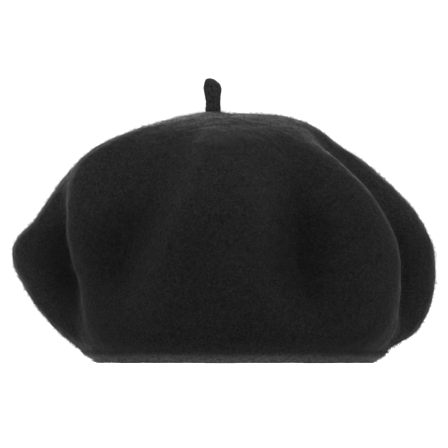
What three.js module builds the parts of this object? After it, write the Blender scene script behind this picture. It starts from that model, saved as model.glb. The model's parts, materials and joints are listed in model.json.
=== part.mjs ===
// A felted wool beret with a stubby stem, standing on its turned-under hem.
//
// The felt is one seamless shell. It rises from an oval hem, swells over the hem all round, and falls in
// soft folds that run from the stem to the hem. Inside are a grosgrain sweatband with its threads, a flat
// bow over the place where the band's ends meet, a care label and the knotted root of the stem.
//
// Millimetres, +Z up. The origin is the centre of the head opening, in the plane the hem rests on.
// -Y is the front, +Y the back, +X the viewer's right when looking at the front.

import * as THREE from "three";

// ---------------------------------------------------------------- driving dimensions

const CROWN_HEIGHT = 142.5; // hem plane to the felt around the stem
const CROWN_CENTRE = new THREE.Vector2(-12, -4); // where the stem stands

const RIM_CENTRE = new THREE.Vector2(-6, 2); // the rim is the widest level of the felt
const RIM_HALF_WIDTH = 121;
const RIM_HALF_DEPTH = 130;
const RIM_HEIGHT = 60;

const HEM_HALF_WIDTH = 80; // outer face of the hem
const HEM_HALF_DEPTH = 106;
const HEM_END_HEIGHT = 2; // where the wall turns into the rounded hem
const HEM_DEPTH = 5.2; // outer face to inner face at the hem's rounded edge

const FELT = 2.6; // one layer of felt
const HEM_FELT = 4.8; // both layers of the turned-under hem

const CLEARANCE = 0.35; // air kept between neighbouring pieces

const STEM_RADIUS = 5.1; // at its widest
const STEM_FOOT_RADIUS = 4.4; // its ball-shaped foot
const STEM_HEIGHT = 17.6; // above its pivot
const STEM_PIVOT_HEIGHT = CROWN_HEIGHT + 2;
const STEM_LEAN = 0.6; // how far its top lies towards -X
const STEM_SLANT = 0.25; // how much lower its top lies for each millimetre towards +X
const EYELET_RADIUS = STEM_FOOT_RADIUS + CLEARANCE;
const ROOT_RADIUS = 8;
const ROOT_HEIGHT = 5;
const ROOT_TOP = CROWN_HEIGHT - FELT - 1; // the crown falls away a little over the root's radius

const BAND_HEIGHT = 28;
const BAND_THICKNESS = 0.9;
const BAND_FOOT = 1.4; // height of the band's lower edge
const BAND_GAP_ANGLE = 0.35; // degrees left open where the band's ends meet
const THREAD_RADIUS = 0.35;

const LABEL_WIDTH = 26;
const LABEL_DROP = 20;
const LABEL_PLY = 0.35;
const LABEL_HALF_DEPTH = 0.7; // from its middle to either face, with air between its two plies
const LABEL_HINGE_HEIGHT = 27;

const BOW_HALF_SPAN = 17;
const BOW_RIBBON_WIDTH = 10;
const BOW_RIBBON_THICKNESS = 0.45;
const BOW_PINCH = 0.5; // half thickness where the knot squeezes the bow, and at its ends
const BOW_PUFF = 0.8; // how much thicker each half of the loops is in their middle
const BOW_HEIGHT = 15; // its middle, above the hem plane
const KNOT_WIDTH = 6;
const KNOT_WALL = 0.8;

const FELT_COLUMNS = 80;
const FELT_ROWS = 21;
const RING_COLUMNS = 72;

// ---------------------------------------------------------------- materials

function material(color, roughness) {
  return new THREE.MeshStandardMaterial({ color, roughness, metalness: 0 });
}

const blackFelt = material(0x1c1c1e, 0.95);
const blackRibbon = material(0x151517, 0.7);
const blackThread = material(0x101012, 0.6);
const whiteLabel = material(0xe9e7e0, 0.75);

// ---------------------------------------------------------------- the felt's surface

// How far down the surface a point is: 0 at the stem, RIM_LEVEL at the rim, 1 at the hem.
const RIM_LEVEL = 0.62;
const EYELET_LEVEL = (RIM_LEVEL * 2 * EYELET_RADIUS) / (Math.PI * RIM_HALF_WIDTH);
const TURN_LEVEL = 0.93; // the edge of the turned-under layer

// Each fold runs from the crown to the hem. crown and hem are its azimuths in degrees, from +X towards
// +Y. depth is how far it sinks into the felt, or stands out if it is negative. before and after are its
// half widths in degrees on the two sides. It starts at level top, is deepest at peak, ends at bottom.
const FOLDS = [
  // left: a slack stretch over a pointed lobe
  { crown: 183, hem: 183, depth: 5, before: 22, after: 14, top: 0.3, peak: 0.52, bottom: 0.62 },
  { crown: 183, hem: 183, depth: 1, before: 14, after: 14, top: 0.45, peak: 0.66, bottom: 1 },
  { crown: 208, hem: 207, depth: 30, before: 10, after: 15, top: 0.33, peak: 0.64, bottom: 0.98 },
  // front left: a full lobe, a broad hollow and the long ridge beside it
  { crown: 222, hem: 227, depth: -9, before: 13, after: 9, top: 0.12, peak: 0.38, bottom: 1 },
  { crown: 249, hem: 236, depth: 26, before: 16, after: 13, top: 0.16, peak: 0.6, bottom: 0.92 },
  { crown: 266, hem: 250, depth: -3, before: 5, after: 6, top: 0.06, peak: 0.5, bottom: 0.95 },
  // front: a flat panel that splits in two towards the hem
  { crown: 267, hem: 262, depth: 12, before: 10, after: 11, top: 0.34, peak: 0.62, bottom: 0.96 },
  { crown: 279, hem: 281, depth: -3, before: 9, after: 9, top: 0.3, peak: 0.62, bottom: 0.95 },
  // front right: the deepest hollow, then a full lobe with a sharp far edge
  { crown: 297, hem: 292, depth: 31, before: 15, after: 9, top: 0.2, peak: 0.6, bottom: 0.93 },
  { crown: 314, hem: 320, depth: -3, before: 10, after: 8, top: 0.1, peak: 0.5, bottom: 0.97 },
  { crown: 334, hem: 341, depth: 32, before: 12, after: 9, top: 0.17, peak: 0.57, bottom: 0.97 },
  // right: the fuller half of the crown
  { crown: 345, hem: 345, depth: -5, before: 36, after: 45, top: 0.03, peak: 0.15, bottom: 0.27 },
  { crown: 350, hem: 350, depth: -1.5, before: 16, after: 14, top: 0.1, peak: 0.22, bottom: 0.36 },
  // back
  { crown: 32, hem: 26, depth: 14, before: 11, after: 12, top: 0.28, peak: 0.62, bottom: 0.95 },
  { crown: 61, hem: 66, depth: 18, before: 14, after: 9, top: 0.18, peak: 0.6, bottom: 0.95 },
  { crown: 76, hem: 80, depth: -4, before: 9, after: 9, top: 0.2, peak: 0.6, bottom: 0.95 },
  { crown: 99, hem: 93, depth: 8, before: 13, after: 12, top: 0.3, peak: 0.68, bottom: 0.97 },
  { crown: 127, hem: 131, depth: 20, before: 10, after: 14, top: 0.18, peak: 0.6, bottom: 0.95 },
  { crown: 155, hem: 152, depth: 10, before: 10, after: 10, top: 0.3, peak: 0.64, bottom: 0.95 },
];

const { degToRad, clamp, lerp, smoothstep } = THREE.MathUtils;

// The turn from one azimuth to another, between -180 and 180 degrees.
function turnBetween(from, to) {
  return THREE.MathUtils.euclideanModulo(to - from + 180, 360) - 180;
}

// 1 at the azimuth `at`, fading to nothing over a few half widths.
function swellAt(azimuth, at, halfWidth) {
  return Math.exp(-((turnBetween(at, azimuth) / halfWidth) ** 2));
}

function ovalRadius(azimuth, halfWidth, halfDepth) {
  const across = Math.cos(degToRad(azimuth)) / halfWidth;
  const along = Math.sin(degToRad(azimuth)) / halfDepth;
  return 1 / Math.hypot(across, along);
}

// A quarter of a superellipse, rounded off where it meets the rim: out runs from 0 to 1 as up runs from
// 1 to 0.
function quarterCurve(turn, power) {
  const out = Math.sin(turn);
  const up = Math.max(Math.cos(turn), 0);
  const rounded = lerp(2, power, smoothstep(up, 0, 0.25));
  const scale = (out ** rounded + up ** rounded) ** (-1 / rounded);
  return { out: out * scale, up: up * scale };
}

// The felt without its folds.
function smoothSurface(azimuth, level) {
  const left = swellAt(azimuth, 182, 45);
  const right = swellAt(azimuth, 0, 50);
  const rimHeight = RIM_HEIGHT + 3 * left - 4 * right;
  const rimRadius = ovalRadius(azimuth, RIM_HALF_WIDTH, RIM_HALF_DEPTH);
  const hemRadius = ovalRadius(azimuth, HEM_HALF_WIDTH, HEM_HALF_DEPTH);
  let radius;
  let height;
  if (level < RIM_LEVEL) {
    const turn = (Math.PI / 2) * (level / RIM_LEVEL);
    const curve = quarterCurve(turn, 1.75 - 0.17 * left + 0.03 * right);
    radius = rimRadius * curve.out;
    height = lerp(rimHeight, CROWN_HEIGHT, curve.up);
  } else {
    const lastTurn = degToRad(70);
    const power = 1.7 - 0.12 * left + 0.35 * right;
    const turn = Math.PI / 2 - lastTurn * ((level - RIM_LEVEL) / (1 - RIM_LEVEL));
    const curve = quarterCurve(turn, power);
    const end = quarterCurve(Math.PI / 2 - lastTurn, power);
    radius = lerp(rimRadius, hemRadius, (1 - curve.out) / (1 - end.out));
    height = lerp(rimHeight, HEM_END_HEIGHT, curve.up / end.up);
  }
  const centre = CROWN_CENTRE.clone()
    .lerp(RIM_CENTRE, smoothstep(level, 0, RIM_LEVEL))
    .multiplyScalar(1 - smoothstep(level, RIM_LEVEL, 1));
  const angle = degToRad(azimuth);
  return new THREE.Vector3(
    centre.x + radius * Math.cos(angle),
    centre.y + radius * Math.sin(angle),
    height,
  );
}

function foldDepth(azimuth, level) {
  let depth = 0;
  for (const fold of FOLDS) {
    const at = lerp(fold.crown, fold.hem, smoothstep(level, 0.25, 0.85));
    const halfWidth = turnBetween(at, azimuth) < 0 ? fold.before : fold.after;
    const growing = smoothstep(level, fold.top, fold.peak);
    const fading = 1 - smoothstep(level, fold.peak, fold.bottom);
    depth += fold.depth * swellAt(azimuth, at, halfWidth) * growing * fading;
  }
  return depth;
}

// The outward direction of a surface given as a function of azimuth and level.
function outwardAt(surface, azimuth, level) {
  const middle = clamp(level, 0.004, 0.996);
  const down = surface(azimuth, middle + 0.002).sub(surface(azimuth, middle - 0.002));
  const round = surface(azimuth + 0.2, middle).sub(surface(azimuth - 0.2, middle));
  return down.cross(round).normalize();
}

// The way a fold is pushed in: steeply down near the stem, level at the rim, and up towards the hem.
function foldDirection(azimuth, level) {
  const rise = degToRad(70 - 110 * level);
  const angle = degToRad(azimuth);
  const flat = -Math.cos(rise);
  return new THREE.Vector3(flat * Math.cos(angle), flat * Math.sin(angle), -Math.sin(rise));
}

function outerFelt(azimuth, level) {
  const inward = foldDirection(azimuth, level).multiplyScalar(foldDepth(azimuth, level));
  return smoothSurface(azimuth, level).add(inward);
}

function innerFelt(azimuth, level, thickness) {
  const inward = outwardAt(outerFelt, azimuth, level).multiplyScalar(-thickness);
  return outerFelt(azimuth, level).add(inward);
}

// ---------------------------------------------------------------- shared shapes

// A closed mesh through a row of sections, each a loop with the same number of points. The row either
// closes on itself, or is capped at both ends, where the sections have to be convex.
function loft(sections, closesOnItself) {
  const size = sections[0].length;
  const positions = sections.flatMap((section) => section.flatMap((point) => point.toArray()));
  const index = [];
  const spans = closesOnItself ? sections.length : sections.length - 1;
  for (let row = 0; row < spans; row += 1) {
    const here = row * size;
    const next = ((row + 1) % sections.length) * size;
    for (let side = 0; side < size; side += 1) {
      const other = (side + 1) % size;
      index.push(here + side, next + other, next + side);
      index.push(here + side, here + other, next + other);
    }
  }
  if (!closesOnItself) {
    const last = (sections.length - 1) * size;
    for (let side = 1; side < size - 1; side += 1) {
      index.push(0, side + 1, side);
      index.push(last, last + side, last + side + 1);
    }
  }
  const geometry = new THREE.BufferGeometry();
  geometry.setAttribute("position", new THREE.Float32BufferAttribute(positions, 3));
  geometry.setIndex(index);
  geometry.computeVertexNormals();
  return geometry;
}

// A point on the oval that runs round the head opening, a given distance inside the hem's outer face.
function insideHem(angle, inset, height) {
  return new THREE.Vector3(
    (HEM_HALF_WIDTH - inset) * Math.cos(angle),
    (HEM_HALF_DEPTH - inset) * Math.sin(angle),
    height,
  );
}

// Moves each vertex of a geometry to where a function puts it.
function reshape(geometry, move) {
  const position = geometry.getAttribute("position");
  const point = new THREE.Vector3();
  for (let i = 0; i < position.count; i += 1) {
    move(point.fromBufferAttribute(position, i));
    position.setXYZ(i, point.x, point.y, point.z);
  }
  geometry.computeVertexNormals();
  return geometry;
}

// An outline extruded along X, from its own X to world Y and its own Y to world Z, centred on x = 0.
function extrudeAlongX(shape, width) {
  const options = { depth: width, bevelEnabled: false, curveSegments: 6 };
  return new THREE.ExtrudeGeometry(shape, options)
    .translate(0, 0, -width / 2)
    .rotateX(Math.PI / 2)
    .rotateZ(Math.PI / 2);
}

function rectangle(halfWidth, halfHeight) {
  return [
    new THREE.Vector2(-halfWidth, -halfHeight),
    new THREE.Vector2(halfWidth, -halfHeight),
    new THREE.Vector2(halfWidth, halfHeight),
    new THREE.Vector2(-halfWidth, halfHeight),
  ];
}

function named(name, geometry, look) {
  const mesh = new THREE.Mesh(geometry, look);
  mesh.name = name;
  return mesh;
}

// ---------------------------------------------------------------- the felt

// The felt's section at one azimuth: down its outer face, round the hem and up its inner face.
function feltSection(azimuth) {
  const levels = Array.from({ length: FELT_ROWS }, (_, row) =>
    lerp(EYELET_LEVEL, 1, row / (FELT_ROWS - 1)),
  );
  const hem = [
    [0.9, 0.8],
    [2.1, 0],
    [3.7, 0],
    [4.8, 1],
    [HEM_DEPTH, 3.2],
  ];
  const hemAngle = Math.atan2(
    HEM_HALF_WIDTH * Math.sin(degToRad(azimuth)),
    HEM_HALF_DEPTH * Math.cos(degToRad(azimuth)),
  );
  return [
    ...levels.map((level) => outerFelt(azimuth, level)),
    ...hem.map(([inset, height]) => insideHem(hemAngle, inset, height)),
    ...[1, TURN_LEVEL].map((level) => innerFelt(azimuth, level, HEM_FELT)),
    ...levels
      .filter((level) => level < TURN_LEVEL)
      .reverse()
      .map((level) => innerFelt(azimuth, level, FELT)),
  ];
}

function feltBody() {
  const sections = Array.from({ length: FELT_COLUMNS }, (_, column) =>
    feltSection((360 * column) / FELT_COLUMNS),
  );
  return named("felt_body", loft(sections, true), blackFelt);
}

// ---------------------------------------------------------------- the stem and its root

// A rounded nub on a ball-shaped foot that sits in the crown's eyelet and turns about its centre.
function stem() {
  const profile = new THREE.Path()
    .moveTo(0, -STEM_FOOT_RADIUS)
    .absarc(0, 0, STEM_FOOT_RADIUS, -Math.PI / 2, 0, false)
    .lineTo(STEM_FOOT_RADIUS, STEM_HEIGHT * 0.2)
    .quadraticCurveTo(STEM_RADIUS, STEM_HEIGHT * 0.5, STEM_RADIUS, STEM_HEIGHT * 0.68)
    .quadraticCurveTo(STEM_RADIUS, STEM_HEIGHT, 0, STEM_HEIGHT);
  const geometry = new THREE.LatheGeometry(profile.getPoints(6), 20).rotateX(Math.PI / 2);
  reshape(geometry, (point) => {
    const rise = clamp(point.z / STEM_HEIGHT, 0, 1);
    point.z -= STEM_SLANT * point.x * rise ** 2;
    point.x -= STEM_LEAN * rise;
  });
  const mesh = named("stem", geometry, blackFelt);
  mesh.position.set(CROWN_CENTRE.x, CROWN_CENTRE.y, STEM_PIVOT_HEIGHT);
  return mesh;
}

// The stem's end, knotted flat under the crown.
function stemRoot() {
  const round = ROOT_HEIGHT / 2;
  const profile = new THREE.Path()
    .moveTo(0, -round)
    .lineTo(ROOT_RADIUS - round, -round)
    .absarc(ROOT_RADIUS - round, 0, round, -Math.PI / 2, Math.PI / 2, false)
    .lineTo(0, round);
  const geometry = new THREE.LatheGeometry(profile.getPoints(5), 20).rotateX(Math.PI / 2);
  const mesh = named("stem_root", geometry, blackFelt);
  mesh.position.set(CROWN_CENTRE.x, CROWN_CENTRE.y, ROOT_TOP - round);
  return mesh;
}

// The ring of thread that tacks the root to the crown.
function stemTackThread() {
  const ringRadius = ROOT_RADIUS + CLEARANCE + THREAD_RADIUS;
  const geometry = new THREE.TorusGeometry(ringRadius, THREAD_RADIUS, 6, 36);
  const mesh = named("stem_tack_thread", geometry, blackThread);
  mesh.position.set(CROWN_CENTRE.x, CROWN_CENTRE.y, ROOT_TOP - THREAD_RADIUS);
  return mesh;
}

// ---------------------------------------------------------------- the sweatband and its threads

const BAND_OUTSIDE = HEM_DEPTH + CLEARANCE;
const BAND_INSIDE = BAND_OUTSIDE + BAND_THICKNESS;
const BAND_TOP = BAND_FOOT + BAND_HEIGHT;

// A strip of ribbon round the opening, whose two ends meet at the back.
function sweatband() {
  const firstAngle = degToRad(90 + BAND_GAP_ANGLE / 2);
  const turn = degToRad(360 - BAND_GAP_ANGLE);
  const sections = Array.from({ length: RING_COLUMNS + 1 }, (_, column) => {
    const angle = firstAngle + (turn * column) / RING_COLUMNS;
    return [
      insideHem(angle, BAND_OUTSIDE, BAND_TOP),
      insideHem(angle, BAND_OUTSIDE, BAND_FOOT),
      insideHem(angle, BAND_INSIDE, BAND_FOOT),
      insideHem(angle, BAND_INSIDE, BAND_TOP),
    ];
  });
  return named("sweatband", loft(sections, false), blackRibbon);
}

// The row of stitches that holds the band's lower edge, as one thread round the opening.
function sweatbandThread() {
  const SIDES = 6;
  const inset = BAND_INSIDE + CLEARANCE + THREAD_RADIUS;
  const height = BAND_FOOT + 2.5;
  const sections = Array.from({ length: RING_COLUMNS }, (_, column) => {
    const angle = (2 * Math.PI * column) / RING_COLUMNS;
    return Array.from({ length: SIDES }, (_, side) => {
      const roll = (2 * Math.PI * side) / SIDES;
      return insideHem(
        angle,
        inset + THREAD_RADIUS * Math.cos(roll),
        height - THREAD_RADIUS * Math.sin(roll),
      );
    }).reverse();
  });
  return named("sweatband_thread", loft(sections, true), blackThread);
}

// A zigzag of thread that joins the band's ends, on the band's inner face at the back.
function bandJoinThread() {
  const STITCHES = 8;
  const REACH = 1.5;
  const MARGIN = 6;
  const back = HEM_HALF_DEPTH - BAND_INSIDE - CLEARANCE - THREAD_RADIUS;
  const points = Array.from({ length: STITCHES + 1 }, (_, stitch) => {
    const side = stitch % 2 === 0 ? -REACH : REACH;
    const height = lerp(BAND_FOOT + MARGIN, BAND_TOP - 2, stitch / STITCHES);
    return new THREE.Vector3(side, back, height);
  });
  const section = new THREE.Shape().absarc(0, 0, THREAD_RADIUS, 0, 2 * Math.PI, false);
  const geometry = new THREE.ExtrudeGeometry(section, {
    steps: STITCHES * 4,
    curveSegments: 3,
    extrudePath: new THREE.CatmullRomCurve3(points),
  });
  return named("band_join_thread", geometry, blackThread);
}

// ---------------------------------------------------------------- the bow over the band's joint

const BACK_CURVE_RADIUS = (HEM_HALF_WIDTH - BAND_INSIDE) ** 2 / (HEM_HALF_DEPTH - BAND_INSIDE);
const KNOT_HALF_DEPTH = BOW_PINCH + BOW_PUFF / 2 + CLEARANCE + KNOT_WALL;
const BOW_BACK = HEM_HALF_DEPTH - BAND_INSIDE - 2 * CLEARANCE - 2 * THREAD_RADIUS - KNOT_HALF_DEPTH;

// Half the bow's thickness, a distance from its middle.
function bowHalfThickness(distance) {
  return BOW_PINCH + BOW_PUFF * Math.abs(Math.sin((Math.PI * distance) / BOW_HALF_SPAN));
}

function layAlongBack(geometry) {
  reshape(geometry, (point) => {
    point.y -= point.x ** 2 / (2 * BACK_CURVE_RADIUS);
  });
  return geometry.translate(0, BOW_BACK, BOW_HEIGHT);
}

// Two flat loops of narrow ribbon, squeezed together in the middle.
function bowLoops() {
  const STEPS = 16;
  const across = (from, to, thinner, side) =>
    Array.from({ length: STEPS + 1 }, (_, step) => {
      const x = lerp(from, to, step / STEPS);
      return new THREE.Vector2(x, side * (bowHalfThickness(x) - thinner));
    });
  const outline = (from, to, thinner) => [
    ...across(from, to, thinner, -1),
    ...across(to, from, thinner, 1),
  ];
  const shape = new THREE.Shape(outline(-BOW_HALF_SPAN, BOW_HALF_SPAN, 0));
  for (const side of [-1, 1]) {
    const [near, far] = [side * KNOT_WIDTH * 0.5, side * (BOW_HALF_SPAN - 1.5)];
    shape.holes.push(new THREE.Path(outline(near, far, BOW_RIBBON_THICKNESS)));
  }
  const options = { depth: BOW_RIBBON_WIDTH, bevelEnabled: false };
  const geometry = new THREE.ExtrudeGeometry(shape, options).translate(0, 0, -BOW_RIBBON_WIDTH / 2);
  return named("bow_loops", layAlongBack(geometry), blackRibbon);
}

// A turn of the same ribbon round the middle of the loops.
function bowKnot() {
  const halfHeight = BOW_RIBBON_WIDTH / 2 + CLEARANCE;
  const shape = new THREE.Shape(rectangle(KNOT_HALF_DEPTH, halfHeight + KNOT_WALL));
  shape.holes.push(new THREE.Path(rectangle(KNOT_HALF_DEPTH - KNOT_WALL, halfHeight)));
  return named("bow_knot", layAlongBack(extrudeAlongX(shape, KNOT_WIDTH)), blackRibbon);
}

// ---------------------------------------------------------------- the care label

const SIDE_CURVE_RADIUS = (HEM_HALF_DEPTH - BAND_INSIDE) ** 2 / (HEM_HALF_WIDTH - BAND_INSIDE);
const LABEL_SAGITTA = (LABEL_WIDTH / 2) ** 2 / (2 * SIDE_CURVE_RADIUS);
const LABEL_HINGE_X = HEM_HALF_WIDTH - BAND_INSIDE - CLEARANCE - LABEL_HALF_DEPTH - LABEL_SAGITTA;

// A blank folded label on the +X side, hanging open end up under the thread that it turns about.
function careLabel() {
  const top = -THREAD_RADIUS - CLEARANCE;
  const foldCentre = top - LABEL_DROP + LABEL_HALF_DEPTH;
  const inside = LABEL_HALF_DEPTH - LABEL_PLY;
  const shape = new THREE.Shape()
    .moveTo(-LABEL_HALF_DEPTH, top)
    .lineTo(-LABEL_HALF_DEPTH, foldCentre)
    .absarc(0, foldCentre, LABEL_HALF_DEPTH, Math.PI, 2 * Math.PI, false)
    .lineTo(LABEL_HALF_DEPTH, top)
    .lineTo(inside, top)
    .lineTo(inside, foldCentre)
    .absarc(0, foldCentre, inside, 2 * Math.PI, Math.PI, true)
    .lineTo(-inside, top);
  const mesh = named("care_label", extrudeAlongX(shape, LABEL_WIDTH), whiteLabel);
  mesh.rotation.z = Math.PI / 2;
  mesh.position.set(LABEL_HINGE_X, 0, LABEL_HINGE_HEIGHT);
  return mesh;
}

// The bar of thread that holds the label's top to the band.
function labelThread() {
  const geometry = new THREE.CapsuleGeometry(THREAD_RADIUS, LABEL_WIDTH - 2 * THREAD_RADIUS, 2, 8);
  const mesh = named("label_thread", geometry, blackThread);
  mesh.position.set(LABEL_HINGE_X, 0, LABEL_HINGE_HEIGHT);
  return mesh;
}

// ---------------------------------------------------------------- the beret

const beret = new THREE.Group();
beret.add(
  feltBody(),
  stem(),
  stemRoot(),
  stemTackThread(),
  sweatband(),
  sweatbandThread(),
  bandJoinThread(),
  bowLoops(),
  bowKnot(),
  careLabel(),
  labelThread(),
);

export default beret;
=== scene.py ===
"""The looks of a black felted beret with a stubby stem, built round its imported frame.

Metres, +Z up, -Y the front, angles in degrees from +X towards +Y. The felt's surface is worked out again
here on a much finer grid than the CAD solid's, from the same folds and one more above the hem. Everything
else is placed from the frame's boxes and joints.
"""

import json
import math
import random

import bmesh
import bpy
import numpy as np
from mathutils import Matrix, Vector, noise


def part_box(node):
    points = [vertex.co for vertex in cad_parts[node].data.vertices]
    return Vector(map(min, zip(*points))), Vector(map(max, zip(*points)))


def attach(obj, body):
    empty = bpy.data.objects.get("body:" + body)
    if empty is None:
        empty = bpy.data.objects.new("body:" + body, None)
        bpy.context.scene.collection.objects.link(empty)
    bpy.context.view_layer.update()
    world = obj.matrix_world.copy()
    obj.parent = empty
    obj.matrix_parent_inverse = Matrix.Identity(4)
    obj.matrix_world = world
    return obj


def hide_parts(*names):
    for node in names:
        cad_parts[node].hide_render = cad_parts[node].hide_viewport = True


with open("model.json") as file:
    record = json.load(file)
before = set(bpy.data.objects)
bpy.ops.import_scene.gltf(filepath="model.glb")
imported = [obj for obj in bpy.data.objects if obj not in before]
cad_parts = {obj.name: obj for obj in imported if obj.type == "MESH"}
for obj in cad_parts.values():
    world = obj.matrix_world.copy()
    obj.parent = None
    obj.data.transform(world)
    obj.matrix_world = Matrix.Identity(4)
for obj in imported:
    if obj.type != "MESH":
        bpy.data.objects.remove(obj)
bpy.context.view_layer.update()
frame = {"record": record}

MM = 0.001
JOINTS = {joint["name"]: joint for joint in frame["record"]["behaviour"]["joints"]}

_, FELT_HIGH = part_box("felt_body")
BAND_LOW, BAND_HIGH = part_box("sweatband")
ROOT_LOW, ROOT_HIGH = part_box("stem_root")
LABEL_LOW, LABEL_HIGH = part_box("care_label")
BOW_LOW, BOW_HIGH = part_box("bow_loops")
_, KNOT_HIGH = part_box("bow_knot")
STEM_PIVOT = Vector(JOINTS["stem_tilt"]["pos_m"])
LABEL_HINGE = Vector(JOINTS["label_flip"]["pos_m"])

CLEARANCE = 0.35 * MM  # the air between the hem and the sweatband
THREAD_RADIUS = 0.28 * MM
FIBRE_RADIUS = 0.05 * MM
RIB_PITCH = 1.0 * MM
RIB_HEIGHT = 0.08 * MM

LEFT = 180
RIGHT = 0

# ---------------------------------------------------------------- the felt's surface

CROWN_CENTRE = np.array([STEM_PIVOT.x, STEM_PIVOT.y])
CROWN_HEIGHT = FELT_HIGH.z
RIM_CENTRE = np.array([-6, 2]) * MM
RIM_HALF_WIDTH = 121 * MM
RIM_HALF_DEPTH = 130 * MM
RIM_HEIGHT = 60 * MM
HEM_DEPTH = 5.2 * MM
HEM_HALF_WIDTH = BAND_HIGH.x + CLEARANCE + HEM_DEPTH
HEM_HALF_DEPTH = BAND_HIGH.y + CLEARANCE + HEM_DEPTH
HEM_END_HEIGHT = 2.0 * MM
FELT = 2.6 * MM  # one layer
HEM_FELT = 4.8 * MM  # both layers of the turned-under hem
EYELET_RADIUS = 4.75 * MM
CROWN_FULLNESS = 1.75  # the power of the superellipse from the stem to the rim: 2 is a plain ellipse
UNDER_FULLNESS = 1.7  # and from the rim to the hem
UNDER_TURN = math.radians(70)

# How far down the surface a point is: 0 at the stem, RIM_LEVEL at the rim, 1 at the hem.
RIM_LEVEL = 0.62
EYELET_LEVEL = RIM_LEVEL * 2 * EYELET_RADIUS / (math.pi * RIM_HALF_WIDTH)
TURN_LEVEL = 0.93  # the edge of the turned-under layer
TURN_STEP = 0.006

# Each fold: azimuth at the crown and at the hem; depth in millimetres, negative where it stands out; half
# widths in degrees on its two sides; and the levels where it starts, is deepest and ends.
FOLDS = [
    # left
    (183, 183, 5, 22, 14, 0.3, 0.52, 0.62),
    (183, 183, 1, 14, 14, 0.45, 0.66, 1),
    (208, 207, 30, 10, 15, 0.33, 0.64, 0.98),
    # front left
    (222, 227, -9, 13, 9, 0.12, 0.38, 1),
    (249, 236, 26, 16, 13, 0.16, 0.6, 0.92),
    (266, 250, -3, 5, 6, 0.06, 0.5, 0.95),
    # front
    (267, 262, 12, 10, 11, 0.34, 0.62, 0.96),
    (279, 281, -3, 9, 9, 0.3, 0.62, 0.95),
    # front right
    (297, 292, 31, 15, 9, 0.2, 0.6, 0.93),
    (314, 320, -3, 10, 8, 0.1, 0.5, 0.97),
    (334, 341, 32, 12, 9, 0.17, 0.57, 0.97),
    # right
    (345, 345, -5, 36, 45, 0.03, 0.15, 0.27),
    (350, 350, -1.5, 16, 14, 0.1, 0.22, 0.36),
    (0, 0, 3, 30, 30, 0.84, 0.93, 1),
    # back
    (32, 26, 14, 11, 12, 0.28, 0.62, 0.95),
    (61, 66, 18, 14, 9, 0.18, 0.6, 0.95),
    (76, 80, -4, 9, 9, 0.2, 0.6, 0.95),
    (99, 93, 8, 13, 12, 0.3, 0.68, 0.97),
    (127, 131, 20, 10, 14, 0.18, 0.6, 0.95),
    (155, 152, 10, 10, 10, 0.3, 0.64, 0.95),
]


def smoothstep(value, low, high):
    """0 up to low, 1 from high on, and a soft step between them."""
    share = np.clip((value - low) / (high - low), 0, 1)
    return share * share * (3 - 2 * share)


def turn_between(start, end):
    """The turn from one azimuth to another, between -180 and 180 degrees."""
    return (end - start + 180) % 360 - 180


def swell_at(azimuth, at, half_width):
    """1 at the azimuth at, fading to nothing over a few half widths."""
    return np.exp(-((turn_between(at, azimuth) / half_width) ** 2))


def swell_at_sides(azimuth, half_width):
    return swell_at(azimuth, LEFT, half_width) + swell_at(azimuth, RIGHT, half_width)


def unit(vectors):
    return vectors / np.linalg.norm(vectors, axis=-1, keepdims=True)


def oval_radius(azimuth, half_width, half_depth):
    """How far an oval's edge is from its middle at each azimuth."""
    angle = np.radians(azimuth)
    return 1 / np.hypot(np.cos(angle) / half_width, np.sin(angle) / half_depth)


def quarter_curve(turn, power):
    """A quarter of a superellipse, rounded off where it meets the rim: out runs from 0 to 1 as up runs from
    1 to 0."""
    out = np.clip(np.sin(turn), 0, 1)
    up = np.clip(np.cos(turn), 0, 1)
    rounded = 2 + (power - 2) * smoothstep(up, 0, 0.25)
    scale = (out**rounded + up**rounded) ** (-1 / rounded)
    return out * scale, up * scale


def smooth_surface(azimuth, level):
    """The felt without its folds. Its rim is higher and more pointed on the left, and fuller on the right."""
    left = swell_at(azimuth, LEFT + 2, 45)
    right = swell_at(azimuth, RIGHT, 50)
    rim_height = RIM_HEIGHT + (3 * left - 4 * right) * MM
    rim_radius = oval_radius(azimuth, RIM_HALF_WIDTH, RIM_HALF_DEPTH)
    hem_radius = oval_radius(azimuth, HEM_HALF_WIDTH, HEM_HALF_DEPTH)

    above = np.pi / 2 * np.clip(level / RIM_LEVEL, 0, 1)
    out, up = quarter_curve(above, CROWN_FULLNESS - 0.17 * left + 0.03 * right)
    radius_above = rim_radius * out
    height_above = rim_height + (CROWN_HEIGHT - rim_height) * up

    power = UNDER_FULLNESS - 0.12 * left + 0.35 * right
    below = np.pi / 2 - UNDER_TURN * np.clip((level - RIM_LEVEL) / (1 - RIM_LEVEL), 0, 1)
    out, up = quarter_curve(below, power)
    end_out, end_up = quarter_curve(np.full_like(power, np.pi / 2 - UNDER_TURN), power)
    radius_below = rim_radius + (hem_radius - rim_radius) * (1 - out) / (1 - end_out)
    height_below = rim_height + (HEM_END_HEIGHT - rim_height) * up / end_up

    upper = level < RIM_LEVEL
    radius = np.where(upper, radius_above, radius_below)
    height = np.where(upper, height_above, height_below)
    to_rim = smoothstep(level, 0, RIM_LEVEL)[..., None]
    to_hem = smoothstep(level, RIM_LEVEL, 1)[..., None]
    centre = (CROWN_CENTRE * (1 - to_rim) + RIM_CENTRE * to_rim) * (1 - to_hem)
    angle = np.radians(azimuth)
    return np.stack(
        [
            centre[..., 0] + radius * np.cos(angle),
            centre[..., 1] + radius * np.sin(angle),
            height,
        ],
        axis=-1,
    )


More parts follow.
